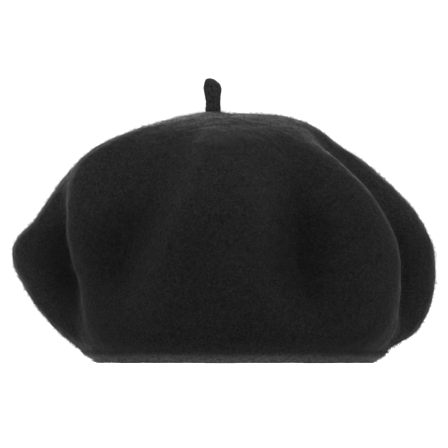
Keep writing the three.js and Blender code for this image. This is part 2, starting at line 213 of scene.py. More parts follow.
def fold_depth(azimuth, level, folds=FOLDS):
    """How far the folds sink into the felt at each point. They drift round it on their way to the hem."""
    depth = np.zeros_like(level)
    drift = smoothstep(level, 0.25, 0.85)
    for crown, hem, fold, before, after, top, peak, bottom in folds:
        at = crown + (hem - crown) * drift
        half_width = np.where(turn_between(at, azimuth) < 0, before, after)
        growing = smoothstep(level, top, peak)
        fading = 1 - smoothstep(level, peak, bottom)
        depth += fold * MM * swell_at(azimuth, at, half_width) * growing * fading
    return depth


def outward(surface, azimuth, level):
    """The outward direction of a surface that is a function of azimuth and level."""
    middle = np.clip(level, 0.004, 0.996)
    down = surface(azimuth, middle + 0.002) - surface(azimuth, middle - 0.002)
    around = surface(azimuth + 0.2, middle) - surface(azimuth - 0.2, middle)
    return unit(np.cross(down, around))


def fold_direction(azimuth, level):
    """The way a fold is pushed in: steeply down near the stem, level at the rim, and up towards the hem."""
    rise = np.radians(70 - 110 * level)
    angle = np.radians(azimuth)
    flat = -np.cos(rise)
    return np.stack([flat * np.cos(angle), flat * np.sin(angle), -np.sin(rise)], axis=-1)


def outer_felt(azimuth, level):
    """The felt's outer face, folds included."""
    depth = fold_depth(azimuth, level)[..., None]
    return smooth_surface(azimuth, level) + fold_direction(azimuth, level) * depth


def inner_felt(azimuth, level, thickness):
    """The felt's inner face, a thickness under the outer one."""
    return outer_felt(azimuth, level) - outward(outer_felt, azimuth, level) * thickness


# ---------------------------------------------------------------- mesh helpers


def mesh_object(name, points, faces):
    """A smooth-shaded object whose faces all look outwards."""
    mesh = bpy.data.meshes.new(name)
    mesh.from_pydata([tuple(point) for point in points], [], faces)
    shape = bmesh.new()
    shape.from_mesh(mesh)
    bmesh.ops.recalc_face_normals(shape, faces=shape.faces)
    shape.to_mesh(mesh)
    shape.free()
    mesh.polygons.foreach_set("use_smooth", [True] * len(mesh.polygons))
    mesh.update()
    obj = bpy.data.objects.new(name, mesh)
    bpy.context.scene.collection.objects.link(obj)
    return obj


def loft(name, sections, closes_on_itself):
    """A closed mesh through rows of points, each row a closed loop, capped at both ends unless the rows
    close on themselves. sections is an array of rows, points and x, y, z."""
    rows, size, _ = sections.shape
    spans = rows if closes_on_itself else rows - 1
    faces = []
    for row in range(spans):
        here = row * size
        there = (row + 1) % rows * size
        for side in range(size):
            other = (side + 1) % size
            faces.append((here + side, here + other, there + other, there + side))
    if not closes_on_itself:
        last = (rows - 1) * size
        faces.append(tuple(reversed(range(size))))
        faces.append(tuple(range(last, last + size)))
    return mesh_object(name, sections.reshape(-1, 3), faces)


def smooth_path(points, samples, closed=False):
    """Points along a Catmull-Rom curve through points, an array of n by 3."""
    points = np.asarray(points, float)
    count = len(points)
    spans = count if closed else count - 1
    where = np.linspace(0, spans, samples, endpoint=not closed)
    index = np.minimum(where.astype(int), spans - 1)
    t = (where - index)[:, None]

    def at(offset):
        i = index + offset
        return points[i % count] if closed else points[np.clip(i, 0, count - 1)]

    a, b, c, d = at(-1), at(0), at(1), at(2)
    return 0.5 * (2 * b + (c - a) * t + (2 * a - 5 * b + 4 * c - d) * t**2 + (3 * b - a - 3 * c + d) * t**3)


def lathe(name, profile, centre, sides):
    """A turned piece from the radii and heights of its profile, bottom to top."""
    angle = np.linspace(0, 2 * np.pi, sides, endpoint=False)
    radius, height = np.asarray(profile).T
    sections = np.stack(
        [
            radius[:, None] * np.cos(angle),
            radius[:, None] * np.sin(angle),
            np.repeat(height[:, None], sides, axis=1),
        ],
        axis=-1,
    )
    return loft(name, sections + np.asarray(centre), False)


def stitch(start, end, lift, radius=THREAD_RADIUS):
    """One stitch's points and faces: from start to end it bows out by lift, and dives in at both ends."""
    share = np.linspace(0, 1, 7)[:, None]
    path = start + (end - start) * share + lift * np.sin(np.pi * share)
    tangent = unit(np.gradient(path, axis=0))
    side = unit(np.cross(tangent, lift))
    out = np.cross(side, tangent)
    angle = np.linspace(0, 2 * np.pi, 6, endpoint=False)[:, None]
    radii = radius * np.array([0.55, 0.9, 1, 1, 1, 0.9, 0.55])
    ring = np.cos(angle) * side[:, None] + np.sin(angle) * out[:, None]
    return path[:, None] + ring * radii[:, None, None]


def stitches(name, runs, body, *nodes):
    """A row of separate stitches as one piece. runs holds each one's start, end and lift."""
    points = []
    faces = []
    for run in runs:
        sections = stitch(*(np.asarray(vector, float) for vector in run))
        rows, sides, _ = sections.shape
        first = len(points)
        points.extend(sections.reshape(-1, 3))
        for row in range(rows - 1):
            here = first + row * sides
            for side in range(sides):
                other = (side + 1) % sides
                faces.append((here + side, here + other, here + sides + other, here + sides + side))
        faces.append(tuple(range(first, first + sides)))
        faces.append(tuple(range(len(points) - sides, len(points))))
    return finish_piece(mesh_object(name, points, faces), THREAD_LOOK, body, *nodes)


def ribbon(name, path, across, widths, thickness, closed=False, rib=0.0):
    """A strip of cloth along a path. across is the direction of its width, and widths how wide it is, at
    each point. Ribs of height rib run from one selvedge to the other."""
    ahead = np.roll(path, -1, axis=0) - np.roll(path, 1, axis=0) if closed else np.gradient(path, axis=0)
    face = unit(np.cross(ahead, across))
    run = np.cumsum(np.linalg.norm(np.diff(path, axis=0, prepend=path[:1]), axis=1))
    ribbed = thickness / 2 + rib * np.cos(2 * np.pi * run / RIB_PITCH)
    edge = np.full_like(ribbed, thickness / 2)
    half = np.broadcast_to(np.asarray(widths) / 2, ribbed.shape)
    rounding = 0.3 * thickness
    selvedge = 1.3 * MM
    side = [
        (half, 0 * edge),
        (half - rounding, edge),
        (half - selvedge, edge),
        (half - selvedge - RIB_PITCH / 3, ribbed),
        (0.3 * half, ribbed),
    ]
    front = side + [(-place, height) for place, height in reversed(side)]
    back = [(-place, -height) for place, height in front[1:-1]]
    places = np.stack([place for place, _ in front + back], axis=1)[..., None]
    heights = np.stack([height for _, height in front + back], axis=1)[..., None]
    sections = path[:, None] + across[:, None] * places + face[:, None] * heights
    return loft(name, sections, closed)


def mesh_arrays(obj):
    """An object's vertices and their normals."""
    count = len(obj.data.vertices)
    points = np.empty(count * 3)
    normals = np.empty(count * 3)
    obj.data.vertices.foreach_get("co", points)
    obj.data.vertex_normals.foreach_get("vector", normals)
    return points.reshape(-1, 3), normals.reshape(-1, 3)


def move_vertices(obj, points):
    obj.data.vertices.foreach_set("co", points.ravel())
    obj.data.update()


def add_lumps(obj, layers, share=1.0):
    """Moves vertices along their normals by layers of soft noise, each a size and a height."""
    points, normals = mesh_arrays(obj)
    heights = [sum(tall * noise.noise(Vector(point / size)) for size, tall in layers) for point in points]
    move_vertices(obj, points + normals * (np.array(heights) * share)[:, None])


def add_tone_and_painted_light(obj, tone_with_painted_light, sheen_share=1.0):
    """Records, all over a felt piece or at each vertex, its tone, where 0 is the deepest black, with painted
    light and painted shade in it, and how much of its painted sheen shows, where 1 is all of it."""
    count = len(obj.data.vertices)
    for name, share in (("tone_with_painted_light", tone_with_painted_light), ("sheen_share", sheen_share)):
        layer = obj.data.attributes.new(name, "FLOAT", "POINT")
        layer.data.foreach_set("value", np.broadcast_to(share, count).astype(np.float32))


def nap(name, felt, faces, count, lengths, seed):
    """Loose fibres rooted in some faces of a felt piece: thin closed spikes that arch over its surface, and
    take its tone where they are rooted, painted light and painted shade included."""
    chance = random.Random(seed)
    roots = chance.choices(faces, weights=[face.area for face in faces], k=count)
    spread = np.array([[chance.random() for _ in range(8)] for _ in roots])
    centre = np.array([face.center for face in roots])
    normal = np.array([face.normal for face in roots])
    reach = np.sqrt([face.area for face in roots])[:, None]
    east = unit(np.cross(normal, (0.31, 0.17, 0.93)))
    north = np.cross(normal, east)
    turn = 2 * np.pi * spread[:, :1]
    along = np.cos(turn) * east + np.sin(turn) * north
    aside = np.cross(normal, along)
    length = lengths[0] + (lengths[1] - lengths[0]) * spread[:, 1:2] ** 2
    arch = length * (0.2 + 0.7 * spread[:, 2:3])
    curl = length * (spread[:, 3:4] - 0.5)
    root = centre + reach * ((spread[:, 4:5] - 0.5) * east + (spread[:, 5:6] - 0.5) * north)
    thick = FIBRE_RADIUS * (0.6 + 0.8 * spread[:, 6:7])

    rings = []
    for share, slim in ((0, 1), (0.5, 0.8)):
        middle = root + along * length * share + aside * curl * share**2
        middle = middle + normal * (arch * math.sin(2.4 * share) - 0.3 * MM * (1 - share))
        for corner in range(3):
            angle = 2 * np.pi * corner / 3
            rings.append(middle + thick * slim * (math.cos(angle) * aside + math.sin(angle) * normal))
    rings.append(root + along * length + aside * curl + normal * arch * math.sin(2.4))
    points = np.stack(rings, axis=1)
    points[..., 2] = np.maximum(points[..., 2], 0)
    pattern = [(2, 1, 0)]
    for corner in range(3):
        other = (corner + 1) % 3
        pattern.append((corner, other, 3 + other, 3 + corner))
        pattern.append((3 + corner, 3 + other, 6))
    size = points.shape[1]
    spikes = [tuple(size * i + corner for corner in face) for i in range(count) for face in pattern]
    fibres = mesh_object(name, points.reshape(-1, 3), spikes)
    tone_with_painted_light = felt.data.attributes["tone_with_painted_light"].data
    add_tone_and_painted_light(fibres, np.repeat([tone_with_painted_light[face.vertices[0]].value for face in roots], size))
    return fibres


# ---------------------------------------------------------------- materials


class Nodes:
    """A short way to write a material's node tree."""

    def __init__(self, name, slot):
        self.material = bpy.data.materials.new(name)
        self.material.use_nodes = True
        self.tree = self.material.node_tree
        self.shader = self.tree.nodes["Principled BSDF"]
        self.position = self.tree.nodes.new("ShaderNodeTexCoord").outputs["Object"]
        self.slot = slot

    def link(self, source, target):
        self.tree.links.new(source, target)

    def add(self, kind, **inputs):
        node = self.tree.nodes.new(kind)
        for key, value in inputs.items():
            socket = node.inputs[key.replace("_", " ")]
            if isinstance(value, bpy.types.NodeSocket):
                self.link(value, socket)
            else:
                socket.default_value = value
        return node

    def noise(self, size, detail=2, distortion=0.0, stretch=(1, 1, 1)):
        """Noise whose features are about size metres across."""
        mapping = self.add("ShaderNodeMapping", Vector=self.position, Scale=stretch)
        node = self.add(
            "ShaderNodeTexNoise",
            Vector=mapping.outputs[0],
            Scale=1 / size,
            Detail=detail,
            Distortion=distortion,
        )
        return node.outputs["Fac"]

    def math(self, operation, a, b=0.5):
        node = self.tree.nodes.new("ShaderNodeMath")
        node.operation = operation
        for socket, value in zip(node.inputs, (a, b)):
            if isinstance(value, bpy.types.NodeSocket):
                self.link(value, socket)
            else:
                socket.default_value = value
        return node.outputs[0]

    def spread(self, value, low, high, to_low=0.0, to_high=1.0):
        """Maps low to to_low and high to to_high, and holds the value beyond them."""
        node = self.add(
            "ShaderNodeMapRange",
            Value=value,
            From_Min=low,
            From_Max=high,
            To_Min=to_low,
            To_Max=to_high,
        )
        return node.outputs[0]

    def mix(self, share, low, high):
        """A colour that is low where share is 0 and high where it is 1."""
        node = self.tree.nodes.new("ShaderNodeMix")
        node.data_type = "RGBA"
        for socket, value in zip((node.inputs[0], node.inputs[6], node.inputs[7]), (share, low, high)):
            if isinstance(value, bpy.types.NodeSocket):
                self.link(value, socket)
            else:
                socket.default_value = value
        return node.outputs[2]

    def lightness(self, name):
        """One of the attributes that add_tone_and_painted_light records, which hold painted light and painted
        shade.
        """
        node = self.tree.nodes.new("ShaderNodeAttribute")
        node.attribute_name = name
        return node.outputs["Fac"]

    def bump(self, height, distance, strength=1.0):
        node = self.add("ShaderNodeBump", Height=height, Distance=distance, Strength=strength)
        self.link(node.outputs[0], self.shader.inputs["Normal"])

    def set(self, **values):
        for key, value in values.items():
            self.shader.inputs[key.replace("_", " ")].default_value = value


def grey(value, warmth=0.0):
    """A grey, or with some warmth a yellowish one."""
    return (value * (1 + warmth), value, value * (1 - warmth), 1)


def felt_material():
    """Matted wool: a soft mottle, a fine grain, and short curly fibres that catch the light. Its colour is
    scaled by a tone with painted light and painted shade in it, and a painted sheen, a lighter grey mixed
    into the base colour where the surface turns away, is dimmed in the folds: each felt piece has attributes
    for both."""
    nodes = Nodes("black_wool_felt", "felt")
    mottle = nodes.noise(14 * MM, detail=3)
    grain = nodes.noise(1.5 * MM, detail=3)
    fleck = nodes.noise(0.7 * MM, detail=1)
    curls = nodes.noise(1.9 * MM, detail=1, distortion=2.2)
    off_curl = nodes.math("ABSOLUTE", nodes.math("SUBTRACT", curls, 0.5))
    fibre = nodes.spread(off_curl, 0.035, 0.0)
    ground = nodes.mix(nodes.spread(mottle, 0.3, 0.7), grey(0.07), grey(0.105))
    grained = nodes.mix(nodes.spread(grain, 0.35, 0.72), ground, grey(0.28))
    colour = nodes.mix(nodes.math("MULTIPLY", fibre, fleck), grained, grey(0.9))
    # the colour is scaled by the tone attribute, which holds painted light and painted shade
    felt = nodes.mix(nodes.lightness("tone_with_painted_light"), grey(0), colour)
    # painted sheen: a lighter grey mixed into the base colour towards grazing angles, dimmed in the folds
    painted_sheen_colour = nodes.mix(grain, grey(0.05), grey(0.12))
    turned_away = nodes.add("ShaderNodeLayerWeight", Blend=0.5).outputs["Facing"]
    sheen = nodes.math("MULTIPLY", nodes.math("POWER", turned_away, 7.5), nodes.lightness("sheen_share"))
    nodes.link(nodes.mix(sheen, felt, painted_sheen_colour), nodes.shader.inputs["Base Color"])
    nodes.set(Roughness=1.0, Specular_IOR_Level=0.06, Sheen_Weight=0.06, Sheen_Roughness=0.22)
    nodes.set(Sheen_Tint=(0.7, 0.7, 0.72, 1))
    height = nodes.math("ADD", grain, nodes.math("MULTIPLY", fibre, 0.35))
    nodes.bump(height, 0.55 * MM, 0.8)
    return nodes


def fibre_material():
    """Loose wool fibres, a little greyer than the felt under them and scaled by its tone, painted light and
    painted shade included.
    """
    nodes = Nodes("black_wool_fibre", "felt")
    shade = nodes.noise(3 * MM, detail=1)
    colour = nodes.mix(nodes.spread(shade, 0.3, 0.7), grey(0.16), grey(0.45))
    nodes.link(nodes.mix(nodes.lightness("tone_with_painted_light"), grey(0), colour), nodes.shader.inputs["Base Color"])
    nodes.set(Roughness=0.9, Specular_IOR_Level=0.1, Sheen_Weight=0.04)
    return nodes


def ribbon_material():
    """Black rayon grosgrain: the ribs are modelled, and this adds the fine threads across them."""
    nodes = Nodes("black_grosgrain", "ribbon")
    threads = nodes.noise(0.35 * MM, detail=2, stretch=(1, 1, 3))
    # lighter worn patches
    lightness = nodes.noise(9 * MM, detail=3)
    shade = nodes.mix(nodes.spread(threads, 0.3, 0.7), grey(0.006), grey(0.018))
    colour = nodes.mix(nodes.spread(lightness, 0.55, 0.8, 0, 0.5), shade, grey(0.026))
    nodes.link(colour, nodes.shader.inputs["Base Color"])
    nodes.set(Roughness=0.55, Specular_IOR_Level=0.4, Sheen_Weight=0.15)
    nodes.bump(threads, 0.12 * MM, 0.7)
    return nodes


def thread_material():
    """Twisted sewing thread with a slight gloss."""
    nodes = Nodes("black_thread", "thread")
    ply = nodes.noise(0.3 * MM, detail=1, distortion=0.6)
    colour = nodes.mix(nodes.spread(ply, 0.3, 0.7), grey(0.008), grey(0.03))
    nodes.link(colour, nodes.shader.inputs["Base Color"])
    nodes.set(Roughness=0.5, Specular_IOR_Level=0.45)
    nodes.bump(ply, 0.1 * MM, 0.8)
    return nodes


def label_material():
    """Off-white woven tape: warp and weft threads a third of a millimetre apart, a little soiled."""
    nodes = Nodes("woven_label_tape", "label")
    weave = []
    for axis in ("Y", "Z"):
        wave = nodes.add("ShaderNodeTexWave", Vector=nodes.position, Scale=1 / (0.34 * MM) / (2 * math.pi))
        wave.bands_direction = axis
        weave.append(wave.outputs["Fac"])
    cloth = nodes.math("MULTIPLY", *weave)
    soil = nodes.noise(6 * MM, detail=3)
    shade = nodes.mix(nodes.spread(cloth, 0.0, 0.8), grey(0.52, 0.03), grey(0.72, 0.02))
    colour = nodes.mix(nodes.spread(soil, 0.5, 0.8, 0, 0.35), shade, grey(0.5, 0.06))
    nodes.link(colour, nodes.shader.inputs["Base Color"])
    nodes.set(Roughness=0.8, Specular_IOR_Level=0.25, Sheen_Weight=0.1)
    nodes.bump(cloth, 0.08 * MM, 0.6)
    return nodes


FELT_LOOK = felt_material()
FIBRE_LOOK = fibre_material()
RIBBON_LOOK = ribbon_material()
THREAD_LOOK = thread_material()
LABEL_LOOK = label_material()


def finish_piece(obj, look, body, *nodes):
    """Gives a piece its material and its body, and hides the CAD nodes that it stands for."""
    obj.data.materials.append(look.material)
    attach(obj, body)
    if nodes:
        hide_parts(*nodes)
    return obj


# ---------------------------------------------------------------- the felt

COLUMNS = 400
OUTER_ROWS = 148
INNER_ROWS = 50
HEM_SAMPLES = 20
AZIMUTHS = np.linspace(0, 360, COLUMNS, endpoint=False)
OUTER_LEVELS = np.linspace(EYELET_LEVEL, 1, OUTER_ROWS)
HEM_INSETS = np.array([1.0, 2.2, 3.4, 4.5, 5.2]) * MM  # the rolled hem's section, from its outer face
HEM_HEIGHTS = np.array([0.9, 0.15, 0.0, 0.8, 3.0]) * MM
HEM_LIFT = 1.2 * MM
FELT_LUMPS = [(26 * MM, 0.9 * MM), (9 * MM, 0.35 * MM), (4.2 * MM, 0.3 * MM)]
COLLAR_RISE = 1.2 * MM  # how far the felt is drawn up where the stem comes through
COLLAR_SPREAD = 2.3 * MM
COLLAR_SQUEEZE = 0.28 * MM

# The felt's tone, where 0 is the deepest black: its outer face's own tone, with painted light added and
# painted shade taken away.
FACE_TONE = 0.038
HOLLOW_PAINTED_SHADE = 0.014
TUCK_PAINTED_SHADE = 0.004
SHOULDER_PAINTED_LIGHT = 0.007
NEAR_HEM_PAINTED_LIGHT = 0.04
HEM_PAINTED_LIGHT = 0.3
ROLL_PAINTED_LIGHT = (0.45, 0.1)  # painted light on the rolled hem, from its outer side to its inner one
INSIDE_TONE = 0.03
SIDES_HALF_WIDTH = 35  # how far the painted light on the hem at the two sides spreads
FOLD_SHEEN_LOSS = 0.8  # how much of the painted sheen is taken away inside a fold: painted shade

HEM_NAP_TOP = 7 * MM  # the hem's own fibres are rooted below this height
NAP_COUNT = 19000  # in each piece
NAP_LENGTHS = (0.9 * MM, 3.4 * MM)


def hem_lift(azimuth):
    """The hem stands a little off the plane at its two sides."""
    return HEM_LIFT * swell_at_sides(azimuth, 32)


def hem_curve(azimuth):
    """The rounded hem at each azimuth, from the end of the outer face to the start of the inner one."""
    angle = np.arctan2(
        HEM_HALF_WIDTH * np.sin(np.radians(azimuth)),
        HEM_HALF_DEPTH * np.cos(np.radians(azimuth)),
    )
    level = np.ones_like(azimuth)
    start = outer_felt(azimuth, level)
    end = inner_felt(azimuth, level, HEM_FELT)
    curves = []
    for i, turn in enumerate(angle):
        points = [start[i]]
        for inset, height in zip(HEM_INSETS, HEM_HEIGHTS):
            across = (HEM_HALF_WIDTH - inset) * math.cos(turn)
            along = (HEM_HALF_DEPTH - inset) * math.sin(turn)
            points.append((across, along, height))
        points.append(end[i])
        curve = smooth_path(points, HEM_SAMPLES + 2)
        curve[:, 2] = np.maximum(curve[:, 2], 0) + hem_lift(azimuth[i])
        curves.append(curve[1:-1])
    return np.array(curves)


def felt_sections():
    """A closed section at each azimuth: down the outer face, round the hem and up the inner face."""
    inner_levels = np.linspace(1, EYELET_LEVEL, INNER_ROWS)
    outer = outer_felt(*np.meshgrid(AZIMUTHS, OUTER_LEVELS, indexing="ij"))
    turned = smoothstep(inner_levels, TURN_LEVEL - TURN_STEP, TURN_LEVEL)
    thickness = (FELT + (HEM_FELT - FELT) * turned)[None, :, None]
    inner = inner_felt(*np.meshgrid(AZIMUTHS, inner_levels, indexing="ij"), thickness)
    for face, levels in ((outer, OUTER_LEVELS), (inner, inner_levels)):
        face[..., 2] += hem_lift(AZIMUTHS)[:, None] * smoothstep(levels, 0.85, 1)
    return np.concatenate([outer, hem_curve(AZIMUTHS), inner], axis=1)


def outer_tone(azimuth, level):
    """The outer face's tone: painted light makes it greyest at the hem and a little grey on the shoulders,
    most of all at the two sides, and painted shade makes it blacker in the hollows and where the felt turns
    under."""
    hollow_shade = HOLLOW_PAINTED_SHADE * smoothstep(fold_depth(azimuth, level), 6 * MM, 23 * MM)
    tuck_shade = TUCK_PAINTED_SHADE * smoothstep(level, 0.6, 0.8)
    hem = NEAR_HEM_PAINTED_LIGHT * smoothstep(level, 0.9, 0.98) + HEM_PAINTED_LIGHT * smoothstep(level, 0.955, 1)
    sides_light = 1 + 2.5 * swell_at_sides(azimuth, SIDES_HALF_WIDTH)
    shoulder_light = SHOULDER_PAINTED_LIGHT * smoothstep(level, 0.12, 0.25) * (1 - smoothstep(level, 0.42, 0.56))
    shoulder_light_spots = 1 + 2.4 * swell_at(azimuth, RIGHT - 8, 18) + 1.2 * swell_at(azimuth, LEFT + 25, 24)
    return FACE_TONE - hollow_shade - tuck_shade + hem * sides_light + shoulder_light * shoulder_light_spots


def add_felt_tone_and_painted_light(shell):
    """The tone of each of its sections, with painted light and painted shade in it, and its painted sheen
    dimmed inside the folds.
    """
    outer = np.meshgrid(AZIMUTHS, OUTER_LEVELS, indexing="ij")
    # painted light on the rolled hem, more at the two sides
    hem = np.outer(1 + swell_at_sides(AZIMUTHS, SIDES_HALF_WIDTH), np.linspace(*ROLL_PAINTED_LIGHT, HEM_SAMPLES))
    inside = np.full((COLUMNS, INNER_ROWS), INSIDE_TONE)
    tone_with_painted_light = np.concatenate([outer_tone(*outer), hem, inside], axis=1)
    inward = [fold for fold in FOLDS if fold[2] > 0]
    # painted shade: the painted sheen dimmed inside the inward folds
    sheen_loss = FOLD_SHEEN_LOSS * smoothstep(fold_depth(*outer, inward), 0, 6 * MM)
    sheen_share = np.concatenate([1 - sheen_loss, np.ones_like(hem), np.ones_like(inside)], axis=1)
    add_tone_and_painted_light(shell, tone_with_painted_light.ravel(), sheen_share.ravel())


def felt_shell():
    """The seamless shell, with the soft unevenness of fulled wool all over it."""
    shell = loft("felt_shell", felt_sections(), True)
    points, _ = mesh_arrays(shell)
    away = np.linalg.norm(points[:, :2] - CROWN_CENTRE, axis=1)
    add_lumps(shell, FELT_LUMPS, smoothstep(away, EYELET_RADIUS, EYELET_RADIUS + 4 * MM))
    points, _ = mesh_arrays(shell)
    hugging = np.exp(-(((away - EYELET_RADIUS) / COLLAR_SPREAD) ** 2))
    points[:, 2] = np.maximum(points[:, 2] + COLLAR_RISE * hugging, 0)
    snug = 1 - COLLAR_SQUEEZE / EYELET_RADIUS * hugging[:, None]
    points[:, :2] = CROWN_CENTRE + (points[:, :2] - CROWN_CENTRE) * snug
    move_vertices(shell, points)
    add_felt_tone_and_painted_light(shell)
    finish_piece(shell, FELT_LOOK, "cap", "felt_body")
    return shell


def felt_nap(shell):
    """Loose fibres on each quarter of the outer face, and more round the hem, where hands ruffle it."""
    section = OUTER_ROWS + HEM_SAMPLES + INNER_ROWS
    last_row = OUTER_ROWS + HEM_SAMPLES // 2
    outside = [face for face in shell.data.polygons if face.index % section < last_row]
    parts = {"hem_nap": [face for face in outside if face.center.z < HEM_NAP_TOP]}
    for x_side, x_name in ((-1, "left"), (1, "right")):
        for y_side, y_name in ((-1, "front"), (1, "back")):
            parts[f"{y_name}_{x_name}_nap"] = [
                face for face in outside if face.center.x * x_side > 0 and face.center.y * y_side > 0
            ]
    for seed, (name, faces) in enumerate(parts.items()):
        fibres = nap(name, shell, faces, NAP_COUNT, NAP_LENGTHS, seed)
        finish_piece(fibres, FIBRE_LOOK, "cap")


# ---------------------------------------------------------------- the stem and its root

STEM_HEIGHT = 17.6 * MM  # above its pivot
STEM_LEAN = 0.6 * MM  # how far its top lies towards -X
STEM_SLANT = 0.25  # how much lower its top lies for each millimetre towards +X
# Radii and heights in millimetres, from the middle of each piece.
STEM_PROFILE = [
    (0.4, -4.3),
    (2.9, -3.3),
    (4.2, -1.2),
    (4.35, 1),
    (4.3, 4),
    (4.6, 8),
    (5.05, 11),
    (4.9, 13.4),
    (4.2, 15.6),
    (2.7, 17),
    (0.3, 17.6),
]
STEM_LUMPS = [(6 * MM, 0.45 * MM), (2 * MM, 0.22 * MM), (0.9 * MM, 0.08 * MM)]
# the stem's tone is set lighter than the outer face's: painted light, a lit copy of the same felt
STEM_LIT_TONE = 0.1
STEM_NAP_COUNT = 700
STEM_NAP_LENGTHS = (0.6 * MM, 1.6 * MM)
STEM_NAP_SEED = 12
ROOT_PROFILE = [
    (0.3, -2.5),
    (3, -2.5),
    (5.8, -2.4),
    (7.4, -1.5),
    (7.9, 0),
    (7.4, 1.5),
    (5.8, 2.4),
    (0.3, 2.5),
]
ROOT_LUMPS = [(5 * MM, 0.6 * MM), (1.8 * MM, 0.22 * MM), (0.9 * MM, 0.08 * MM)]
ROOT_TONE = 0.08
ROOT_HALF_HEIGHT = (ROOT_HIGH.z - ROOT_LOW.z) / 2


def smooth_profile(profile, samples):
    """Radii and heights along the smooth curve through a profile's corners."""
    corners = np.array([(radius, 0, height) for radius, height in profile]) * MM
    return smooth_path(corners, samples)[:, [0, 2]]


def stem():
    """The felt nub: higher on its left shoulder, leaning a little to the left."""
    profile = smooth_profile(STEM_PROFILE, 60)
    nub = lathe("felt_stem", profile, (0, 0, 0), 48)
    points, _ = mesh_arrays(nub)
    rise = np.clip(points[:, 2] / STEM_HEIGHT, 0, 1)
    points[:, 2] -= STEM_SLANT * points[:, 0] * rise**2
    points[:, 0] -= STEM_LEAN * rise
    move_vertices(nub, points + np.array(STEM_PIVOT))
    add_lumps(nub, STEM_LUMPS)
    add_tone_and_painted_light(nub, STEM_LIT_TONE)
    return finish_piece(nub, FELT_LOOK, "stem", "stem")


def stem_nap(nub):
    """Short loose fibres on the part of the stem that shows."""
    above = [face for face in nub.data.polygons if face.center.z > STEM_PIVOT.z]
    fibres = nap("stem_nap", nub, above, STEM_NAP_COUNT, STEM_NAP_LENGTHS, STEM_NAP_SEED)
    return finish_piece(fibres, FIBRE_LOOK, "stem")


def stem_root():
    """The stem's end, knotted flat under the crown."""
    centre = (CROWN_CENTRE[0], CROWN_CENTRE[1], ROOT_HIGH.z - ROOT_HALF_HEIGHT)
    root = lathe("felt_root", smooth_profile(ROOT_PROFILE, 40), centre, 56)
    add_lumps(root, ROOT_LUMPS)
    add_tone_and_painted_light(root, ROOT_TONE)
    return finish_piece(root, FELT_LOOK, "cap", "stem_root")


def stem_tack_thread():
    """Short stitches all round the root, from its side up into the crown."""
    count = 16
    runs = []
    for i in range(count):
        azimuth = 360 * i / count + 5 * math.sin(3 * i)
        angle = math.radians(azimuth)
        out = np.array([math.cos(angle), math.sin(angle), 0])
        aside = np.array([-math.sin(angle), math.cos(angle), 0])
        hold = np.array([*CROWN_CENTRE, ROOT_HIGH.z - 1.2 * MM]) + out * 7.3 * MM
        level = EYELET_LEVEL * (10.6 + 0.5 * math.sin(5 * i)) * MM / EYELET_RADIUS
        crown = inner_felt(np.array([azimuth + 6]), np.array([level]), FELT)[0]
        runs.append((hold, crown, out * 0.5 * MM - np.array([0, 0, 0.75 * MM]) + aside * 0.1 * MM))
    return stitches("tack_stitches", runs, "cap", "stem_tack_thread")


# ---------------------------------------------------------------- the sweatband and its threads

BAND_OUTSIDE = HEM_DEPTH + CLEARANCE
BAND_THICKNESS = 0.9 * MM
BAND_INSIDE = BAND_OUTSIDE + BAND_THICKNESS
BAND_HEIGHT = BAND_HIGH.z - BAND_LOW.z
BAND_GAP = 0.6 * MM  # left open where its ends meet
SEAM_HEIGHT = BAND_LOW.z + 2.5 * MM
STITCH_PITCH = 4.8 * MM


def inside_hem(angle, inset, height):
    """Points on the oval round the opening, a distance inside the hem's outer face."""
    angle, inset, height = np.broadcast_arrays(angle, inset, height)
    across = (HEM_HALF_WIDTH - inset) * np.cos(angle)
    along = (HEM_HALF_DEPTH - inset) * np.sin(angle)
    return np.stack([across, along, height], axis=-1)


def oval_path(samples):
    """Evenly spaced angles round the oval, from one end of the band to the other, and their distances."""
    fine = np.linspace(0, 2 * np.pi, 4000) + np.pi / 2
    points = inside_hem(fine, BAND_INSIDE, 0)
    run = np.concatenate([[0], np.cumsum(np.linalg.norm(np.diff(points, axis=0), axis=1))])
    wanted = np.linspace(BAND_GAP / 2, run[-1] - BAND_GAP / 2, samples)
    return np.interp(wanted, run, fine), run[-1]


def sweatband():
    """Grosgrain ribbon round the opening: real ribs, thicker selvedges, ends that meet at the back."""
    _, length = oval_path(2)
    angle, _ = oval_path(int(length / RIB_PITCH * 4))
    middle = inside_hem(angle, BAND_OUTSIDE + BAND_THICKNESS / 2, BAND_LOW.z + BAND_HEIGHT / 2)
    up = np.tile((0.0, 0.0, 1.0), (len(angle), 1))
    cloth = BAND_THICKNESS - 2 * RIB_HEIGHT
    band = ribbon("grosgrain_sweatband", middle, up, BAND_HEIGHT, cloth, rib=RIB_HEIGHT)
    finish_piece(band, RIBBON_LOOK, "cap", "sweatband")


def sweatband_thread():
    """Running stitches along the band's lower edge."""
    _, length = oval_path(2)
    count = int(length / STITCH_PITCH)
    ends, _ = oval_path(count * 3 + 1)
    runs = []
    for i in range(count):
        start = inside_hem(ends[3 * i], BAND_INSIDE, SEAM_HEIGHT + 0.15 * MM * math.sin(2.3 * i))
        end = inside_hem(ends[3 * i + 2], BAND_INSIDE, SEAM_HEIGHT + 0.15 * MM * math.sin(1.7 * i + 1))
        inward = -unit(np.array([start[0], start[1], 0]))
        runs.append((start, end, inward * 0.4 * MM))
    return stitches("band_stitches", runs, "cap", "sweatband_thread")


def band_join_thread():
    """A zigzag over the place where the band's ends meet."""
    count = 14
    low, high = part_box("band_join_thread")
    back = HEM_HALF_DEPTH - BAND_INSIDE
    heights = np.linspace(low.z, high.z, count + 1)
    sides = np.where(np.arange(count + 1) % 2, 1.6 * MM, -1.6 * MM)
    corners = np.stack([sides, np.full(count + 1, back), heights], axis=1)
    lift = np.array([0, -0.35 * MM, 0])
    runs = [(corners[i], corners[i + 1], lift) for i in range(count)]
    return stitches("join_stitches", runs, "cap", "band_join_thread")


# ---------------------------------------------------------------- the bow

